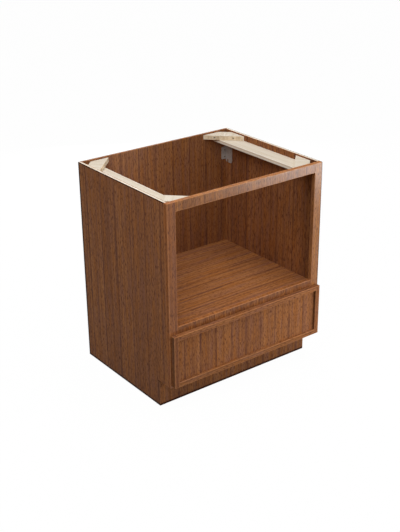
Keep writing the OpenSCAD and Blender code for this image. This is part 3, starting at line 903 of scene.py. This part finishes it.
@dataclass
class Carcass(SubAssembly):
    """The sides, back, floor, shelf and toe kick."""

    def build(self) -> None:
        """Make the six boards."""
        # the sides get painted shade on their front edges, in the pocket behind the face frame and along
        # the foot, top and rear rims
        sides = StainedWood(leaf_start=0.058, side_tone=0.62, raw_top=True, pocket_shade=0.42,
                            rims=(Rim.FOOT, Rim.TOP, Rim.REAR))
        for hand in HANDS:
            self.board(f"{hand}_side_panel", Lay.UP_DEEP, sides)
        back = StainedWood(tone=(1.09, 1.13, 1.07), leaf=0.088, leaf_start=-0.009, front_gloss=0.06)
        self.board("back_panel", Lay.UP_WIDE, back)
        # the shelf's lighter tone is painted light from the open top and front
        shelf = StainedWood(tone=(1.22, 1.24, 1.14), leaf=0.0985, leaf_start=0.0205, sway=0.022,
                            banding=1.3, speckle=0.6)
        self.board("microwave_shelf", Lay.WIDE_FLAT, shelf)
        self.board("cabinet_floor", Lay.WIDE_FLAT, shelf)
        # the toe board's darker tone is painted shade in the toe space, with lines of painted shade at
        # its foot and top
        toe = StainedWood(tone=(0.88, 0.92, 0.9), leaf=0.0895, leaf_start=-0.0225,
                          rims=(Rim.FOOT, Rim.TOP))
        self.board("toe_kick_board", Lay.UP_WIDE, toe)


@dataclass
class FaceFrame(SubAssembly):
    """The two stiles and three rails."""

    ease: float = 0.9 * MM
    # the right stile's lighter tone is partly its own wood and partly painted light from the lamps on the
    # right
    tones: tuple[tuple[str, Triple], ...] = (
        ("left_stile", (1.12, 1.04, 0.86)), ("right_stile", (1.31, 1.38, 1.07)),
        ("top_rail", (1.13, 1.12, 0.85)), ("middle_rail", (0.94, 0.88, 0.68)),
        ("bottom_rail", (0.94, 0.88, 0.68)))

    def build(self) -> None:
        """Make the five boards."""
        # painted light: lighter top faces of the stiles and rails, and a highlight along the eased edges
        solid = StainedWood(painted_end_light=1.3, leaf=0.046, leaf_start=0.018, streak_depth=0.45,
                            eased_highlight_reach=3.0 * MM, eased_highlight_depth=0.7, front_gloss=0.36,
                            rim_width=3.0 * MM, rim_depth=0.75)
        for node, tone in self.tones:
            # the right stile's right edge gets a line of painted shade
            rims = (Rim.RIGHT,) if node == "right_stile" else ()
            self.board(node, Lay.UP_WIDE, replace(solid, tone=tone, rims=rims))


@dataclass
class DrawerFront(SubAssembly):
    """The slim-framed drawer front and its bumper dots."""

    ease: float = 1.0 * MM
    panel_ease: float = 0.3 * MM
    dot_ease: float = 0.6 * MM
    dot_shortest: float = 0.2 * MM

    def build(self) -> None:
        """Make the frame, the panel and the dots."""
        # painted shade on the stiles' sides, and a painted highlight along the eased edges
        slim = StainedWood(tone=(1.06, 1.08, 1.08), side_tone=0.62, leaf=0.09, streak_depth=0.3,
                           eased_highlight_reach=3.0 * MM, eased_highlight_depth=0.7, front_gloss=0.03)
        for hand in HANDS:
            self.board(f"front_{hand}_stile", Lay.UP_WIDE, slim)
        slim = replace(slim, side_tone=1.0)
        self.board("front_top_rail", Lay.WIDE_UPRIGHT, slim)
        slim = replace(slim, tone=(1.2, 1.26, 1.16))
        self.board("front_bottom_rail", Lay.WIDE_UPRIGHT, slim)
        panel = StainedWood(tone=(1.09, 1.1, 1.02), leaf=0.0768, leaf_start=-0.0145, sway=0.008,
                            banding=0.6, front_gloss=0.03)
        self.ease = self.panel_ease
        self.board("front_panel", Lay.UP_WIDE, panel)
        rubber = Moulded(tint(214, 214, 208), tint(196, 196, 188), roughness=0.3, skin=(0.02 * MM, 0.6))
        self.slot, self.ease = "bumper_rubber", self.dot_ease
        self.finer("front_bumpers", rubber.build("bumper_rubber"), self.dot_shortest)


@dataclass
class TopBracing(SubAssembly):
    """The two side braces and the four corner blocks of bare wood."""

    ease: float = 0.6 * MM
    plies: int = 3

    def build(self) -> None:
        """Make the braces and the blocks."""
        for hand in HANDS:
            self.board(f"{hand}_brace", Lay.DEEP_FLAT, RawWood(layers=self.plies))
        self.slot = "block_wood"
        rising, falling = Lay.DIAGONAL_RISING, Lay.DIAGONAL_FALLING
        for place, lays in (("back", (falling, rising)), ("front", (rising, falling))):
            for hand, lay in zip(HANDS, lays):
                self.board(f"{place}_{hand}_corner_block", lay, RawWood())


@dataclass
class DrawerBox(SubAssembly):
    """The dovetailed box of clear-coated maple."""

    ease: float = 0.8 * MM
    bottom_ease: float = 0.3 * MM

    def build(self) -> None:
        """Make the five boards of the box."""
        # the maple's edge colour is also its painted highlight along the edges
        maple = RawWood(face=tint(226, 200, 160), line=tint(206, 172, 126), end=tint(194, 158, 114),
                        ring=tint(168, 128, 86), fleck=tint(164, 122, 80), edge=tint(234, 212, 176),
                        lacquer=1.0)
        for hand in HANDS:
            self.board(f"drawer_{hand}_side", Lay.DEEP_UPRIGHT, maple)
        for place in ("front", "back"):
            self.board(f"drawer_box_{place}", Lay.WIDE_UPRIGHT, maple)
        self.ease = self.bottom_ease
        self.board("drawer_bottom", Lay.WIDE_FLAT, maple)


@dataclass
class Brackets(SubAssembly):
    """The four forked corner brackets on the back panel."""

    def build(self) -> None:
        """Make the brackets, each bent from one plate."""
        grey = Steel(tint(176, 168, 162), tint(154, 146, 140), tint(232, 228, 224), metallic=0.2,
                     roughness=0.5, draw=(1, 1, 0.08)).build("bracket_steel")
        for level in LEVELS:
            for hand in HANDS:
                self.finer(f"{level}_{hand}_bracket", grey)


@dataclass
class Runners(SubAssembly):
    """The concealed runners: channels, middle members, drawer members and ball cages."""

    ease: float = 0.25 * MM
    shortest: float = 4 * MM

    def build(self) -> None:
        """Make the rolled members and dress the cages."""
        zinc = Steel(tint(186, 188, 192), tint(150, 152, 158), tint(226, 228, 232)).build("runner_steel")
        cage = Steel(tint(150, 150, 154), tint(120, 120, 126), tint(214, 214, 218), roughness=0.25,
                     draw=(1, 1, 1)).build("cage_steel")
        for hand in HANDS:
            for part, body in (("fixed_channel", "cabinet"), ("middle_member", f"{hand}_middle_member"),
                               ("drawer_member", "drawer")):
                self.body = body
                self.finer(f"{hand}_{part}", zinc, self.shortest)
            for level in LEVELS:
                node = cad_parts[f"{hand}_{level}_ball_cage"]
                node.data.materials.clear()
                node.data.materials.append(cage)
                LOG.info("%s keeps its shape", node.name)


@dataclass
class LockingClips(SubAssembly):
    """The clips under the drawer box front and their release levers."""

    ease: float = 0.5 * MM
    lever_shortest: float = 0.5 * MM

    def build(self) -> None:
        """Make the clips and levers."""
        grey = Moulded(tint(78, 80, 84), tint(66, 68, 72)).build("clip_plastic")
        orange = Moulded(tint(214, 104, 34), tint(196, 90, 26)).build("lever_plastic")
        for hand in HANDS:
            self.body, self.slot = "drawer", "clip_plastic"
            self.finer(f"{hand}_locking_clip", grey)
            self.body, self.slot = f"{hand}_lever", "lever_plastic"
            self.finer(f"{hand}_release_lever", orange, self.lever_shortest)


@dataclass
class Screws(SubAssembly):
    """A set of pan head screws with a cross recess, one for each solid of its node."""

    node: str = ""
    sides: int = 24

    # The head's outline, outwards in: shares of its radius and of its height below the top
    dome: tuple[Span, ...] = ((1, 1), (1, 0.6), (0.9, 0.25), (0.75, 0.06), (0.6, 0))
    least_height: float = 0.1 * MM

    # The tip's radius and the length of its taper, in radii of the shank
    tip: float = 0.25
    taper: float = 2.0

    # The recess: its arms' length and half width in head radii, its depth in head heights, and the
    # share of its width at its floor
    arm: float = 0.5
    slit: float = 0.13
    sink: float = 0.75
    narrowed: float = 0.7

    def build(self, finish: Material) -> None:
        """Make the whole set in place of its node.

        Args:
            finish: The screws' material.
        """
        solids = self.cleaned(self.node)
        shape = bmesh.new()
        for verts in self._loose(solids):
            self._screw(shape, verts)
        solids.free()
        bmesh.ops.recalc_face_normals(shape, faces=shape.faces)
        self.place(shape, self.node, finish)

    @staticmethod
    def _loose(shape: bmesh.types.BMesh) -> list[list[bmesh.types.BMVert]]:
        """Sort a mesh's points into its separate solids.

        Args:
            shape: The mesh.

        Returns:
            The points of each solid, in the mesh's own order.
        """
        groups, seen = [], set()
        for start in shape.verts:
            if start in seen:
                continue
            seen.add(start)
            group = [start]
            for vert in group:
                for edge in vert.link_edges:
                    other = edge.other_vert(vert)
                    if other not in seen:
                        seen.add(other)
                        group.append(other)
            groups.append(group)
        return groups

    def _screw(self, shape: bmesh.types.BMesh, verts: Sequence[bmesh.types.BMVert]) -> None:
        """Turn one plain solid into a domed screw with a cross recess.

        Args:
            shape: The mesh to add the screw to.
            verts: The points of the plain solid.
        """
        faces = {face for vert in verts for face in vert.link_faces if len(face.verts) > ROUND}
        ends = [face for face in faces if all(
            (vert.co - face.verts[0].co).dot(face.normal) < WELD for vert in verts)]
        top, tip = max(ends, key=lambda f: f.calc_area()), min(ends, key=lambda f: f.calc_area())
        head, shank = (math.sqrt(face.calc_area() / math.pi) for face in (top, tip))
        place = top.calc_center_median()
        depths = sorted((place - vert.co).dot(top.normal) for vert in verts)
        height = next(depth for depth in depths if depth > self.least_height)
        end = -depths[-1]
        profile = [(self.tip * shank, end), (shank, end + self.taper * shank), (shank, -height)]
        profile += [(radius * head, -drop * height) for radius, drop in self.dome]
        seat = Matrix.Translation(place) @ top.normal.to_track_quat("Z", "Y").to_matrix().to_4x4()
        turns = [2 * math.pi * side / self.sides for side in range(self.sides)]
        rings = [[shape.verts.new(seat @ Vector((r * math.cos(t), r * math.sin(t), z)))
                  for t in turns] for r, z in profile]
        shape.faces.new(rings[0])
        for low, high in zip(rings, rings[1:]):
            for side in range(self.sides):
                after = (side + 1) % self.sides
                shape.faces.new((low[side], low[after], high[after], high[side]))
        self._recess(shape, seat, rings[-1], head, self.sink * height)

    def _recess(self, shape: bmesh.types.BMesh, seat: Matrix, rim: Sequence[bmesh.types.BMVert],
                head: float, depth: float) -> None:
        """Sink a tapered cross into the head.

        Args:
            shape: The mesh to add to.
            seat: The screw's place, its head's top at the origin, facing +Z.
            rim: The ring of points that bounds the head's flat top.
            head: The head's radius.
            depth: How deep the cross is.
        """
        arm, slit = self.arm * head, self.slit * head
        outline = [Matrix.Rotation(quarter * math.pi / 2, 2) @ Vector(corner)
                   for quarter in range(4) for corner in ((arm, -slit), (arm, slit), (slit, slit))]
        upper = [shape.verts.new(seat @ Vector((x, y, 0))) for x, y in outline]
        lower = [shape.verts.new(seat @ Vector((self.narrowed * x, self.narrowed * y, -depth)))
                 for x, y in outline]
        shape.faces.new(lower)
        edges = []
        for ring in (upper, rim):
            for first, second in zip(ring, (*ring[1:], ring[0])):
                edges.append(shape.edges.get((first, second)) or shape.edges.new((first, second)))
        for at in range(len(outline)):
            after = (at + 1) % len(outline)
            shape.faces.new((upper[at], upper[after], lower[after], lower[at]))
        bmesh.ops.triangle_fill(shape, use_beauty=True, use_dissolve=False, edges=edges)


# ---- Studio ----


@dataclass(frozen=True)
class Softbox:
    """A rectangular softbox: its middle, its width and height, and its power in watts."""

    name: str
    place: Triple
    size: Span
    power: float

    def hang(self, target: Vector) -> None:
        """Hang the softbox so that it faces the cabinet.

        Args:
            target: The middle of the cabinet.
        """
        data = bpy.data.lights.new(self.name, "AREA")
        data.shape = "RECTANGLE"
        data.size, data.size_y = self.size
        data.energy = self.power
        light = bpy.data.objects.new(self.name, data)
        light.location = self.place
        light.visible_camera = False
        light.rotation_euler = (Vector(self.place) - target).to_track_quat("Z", "Y").to_euler()
        bpy.context.scene.collection.objects.link(light)


@dataclass
class Studio:
    """The camera, lights, white surroundings and floor."""

    # The camera's angles, distance, target and slide, and its focal length and long side in pixels
    azimuth: float = -37.042
    elevation: float = 24.32
    roll: float = -0.538
    distance: float = 4.17162
    target: Triple = (0.0, 0.0104, 0.43815)
    slide: Span = (-0.003658, -0.015773)
    focal_px: float = 1001.322
    image_px: int = 532
    sensor: float = 36.0

    # The world's strength, the floor's size and colours, lit and seen, and its own glow's share
    ambient: float = 0.2
    floor_size: float = 60.0
    floor_cells: int = 8
    floor_lit: Rgba = tint(168, 166, 162)
    floor_seen: Rgba = tint(250, 250, 250)
    floor_glow: float = 0.985

    softboxes: tuple[Softbox, ...] = (
        Softbox("overhead", (0.3, -0.6, 3.6), (2.2, 2.2), 38.0),
        Softbox("rear_top", (0.2, 1.5, 3.2), (1.6, 1.6), 30.0),
        Softbox("left", (-1.7, -1.0, 2.6), (1.4, 1.4), 34.0),
        Softbox("front_right", (1.4, -2.8, 1.3), (1.6, 1.6), 6.0),
        Softbox("low_right", (1.55, -1.6, 0.42), (1.1, 0.5), 25.0),
        Softbox("behind", (1.6, 2.6, 0.7), (1.4, 1.2), 60.0))

    def build(self) -> None:
        """Set up the whole studio."""
        self._camera()
        self._world()
        self._floor()
        for softbox in self.softboxes:
            softbox.hang(Vector(self.target))
        bpy.context.scene.view_settings.view_transform = "Standard"

    def _camera(self) -> None:
        """Place the camera at the photograph's viewing angle."""
        turn, rise, tilt = (math.radians(a) for a in (self.azimuth, self.elevation, self.roll))
        back = Vector((math.sin(turn) * math.cos(rise), -math.cos(turn) * math.cos(rise), math.sin(rise)))
        level = Vector((math.cos(turn), math.sin(turn), 0))
        upright = back.cross(level)
        right = level * math.cos(tilt) + upright * math.sin(tilt)
        up = upright * math.cos(tilt) - level * math.sin(tilt)
        eye = Vector(self.target) + back * self.distance + right * self.slide[0] + up * self.slide[1]
        data = bpy.data.cameras.new("camera")
        data.sensor_width = self.sensor
        data.lens = self.sensor * self.focal_px / self.image_px
        camera = bpy.data.objects.new("camera", data)
        camera.matrix_world = Matrix.Translation(eye) @ Matrix((right, up, back)).transposed().to_4x4()
        bpy.context.scene.collection.objects.link(camera)
        bpy.context.scene.camera = camera

    @staticmethod
    def _seen(g: Graph) -> Wire:
        """1 for what the camera sees, directly, mirrored or through glass."""
        path = g.node("ShaderNodeLightPath", {}, {}, "Is Camera Ray")
        return path.most(path.out("Is Glossy Ray")).most(path.out("Is Transmission Ray"))

    def _world(self) -> None:
        """A dim world that lights softly and looks white."""
        world = bpy.data.worlds.new("studio")
        bpy.context.scene.world = world
        g = Graph(world)
        dim, white = (g.node("ShaderNodeBackground", {}, {"Color": WHITE, "Strength": strength})
                      for strength in (self.ambient, 1.0))
        both = g.node("ShaderNodeMixShader", {}, {0: self._seen(g), 1: dim, 2: white})
        g.end("ShaderNodeOutputWorld", both)

    def _floor(self) -> None:
        """A wide pale floor that keeps a faint shadow."""
        g = Graph(bpy.data.materials.new("floor"))
        seen = self._seen(g)
        paint = g.mix(seen, self.floor_lit, self.floor_seen)
        matt = g.node("ShaderNodeBsdfDiffuse", {}, {"Color": paint})
        glow = g.node("ShaderNodeEmission", {}, {"Color": WHITE, "Strength": 1.0})
        both = g.node("ShaderNodeMixShader", {}, {0: seen * self.floor_glow, 1: matt, 2: glow})
        mesh = bpy.data.meshes.new("floor")
        shape = bmesh.new()
        bmesh.ops.create_grid(shape, x_segments=self.floor_cells, y_segments=self.floor_cells,
                              size=self.floor_size / 2)
        shape.to_mesh(mesh)
        shape.free()
        mesh.materials.append(g.end("ShaderNodeOutputMaterial", both))
        floor = bpy.data.objects.new("floor", mesh)
        bpy.context.scene.collection.objects.link(floor)


def main() -> None:
    """Build the studio and every sub-assembly."""
    logging.basicConfig(level=logging.INFO, format="%(name)s: %(message)s")
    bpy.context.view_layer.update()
    Studio().build()
    Carcass("cabinet", "panel_wood").build()
    FaceFrame("cabinet", "frame_wood").build()
    TopBracing("cabinet", "brace_plywood").build()
    Brackets("cabinet", "bracket_steel").build()
    DrawerBox("drawer", "drawer_box_wood").build()
    DrawerFront("drawer", "drawer_front_wood").build()
    Runners("cabinet", "runner_steel").build()
    LockingClips("drawer", "clip_plastic").build()
    zinc = Steel(tint(206, 196, 164), tint(172, 158, 122), tint(236, 230, 208), roughness=0.28,
                 draw=(1, 1, 1)).build("screw_steel")
    black = Steel(tint(118, 104, 92), tint(92, 80, 70), tint(150, 136, 122), metallic=0.2, roughness=0.45,
                  draw=(1, 1, 1)).build("screw_black")
    for node in ("corner_block_screws", "bracket_screws"):
        Screws("cabinet", "screw_black", node=node).build(black)
    Screws("cabinet", "screw_steel", node="runner_screws").build(zinc)
    for node in ("drawer_front_screws", "clip_screws"):
        Screws("drawer", "screw_steel", node=node).build(zinc)


if __name__ == "__main__":
    main()
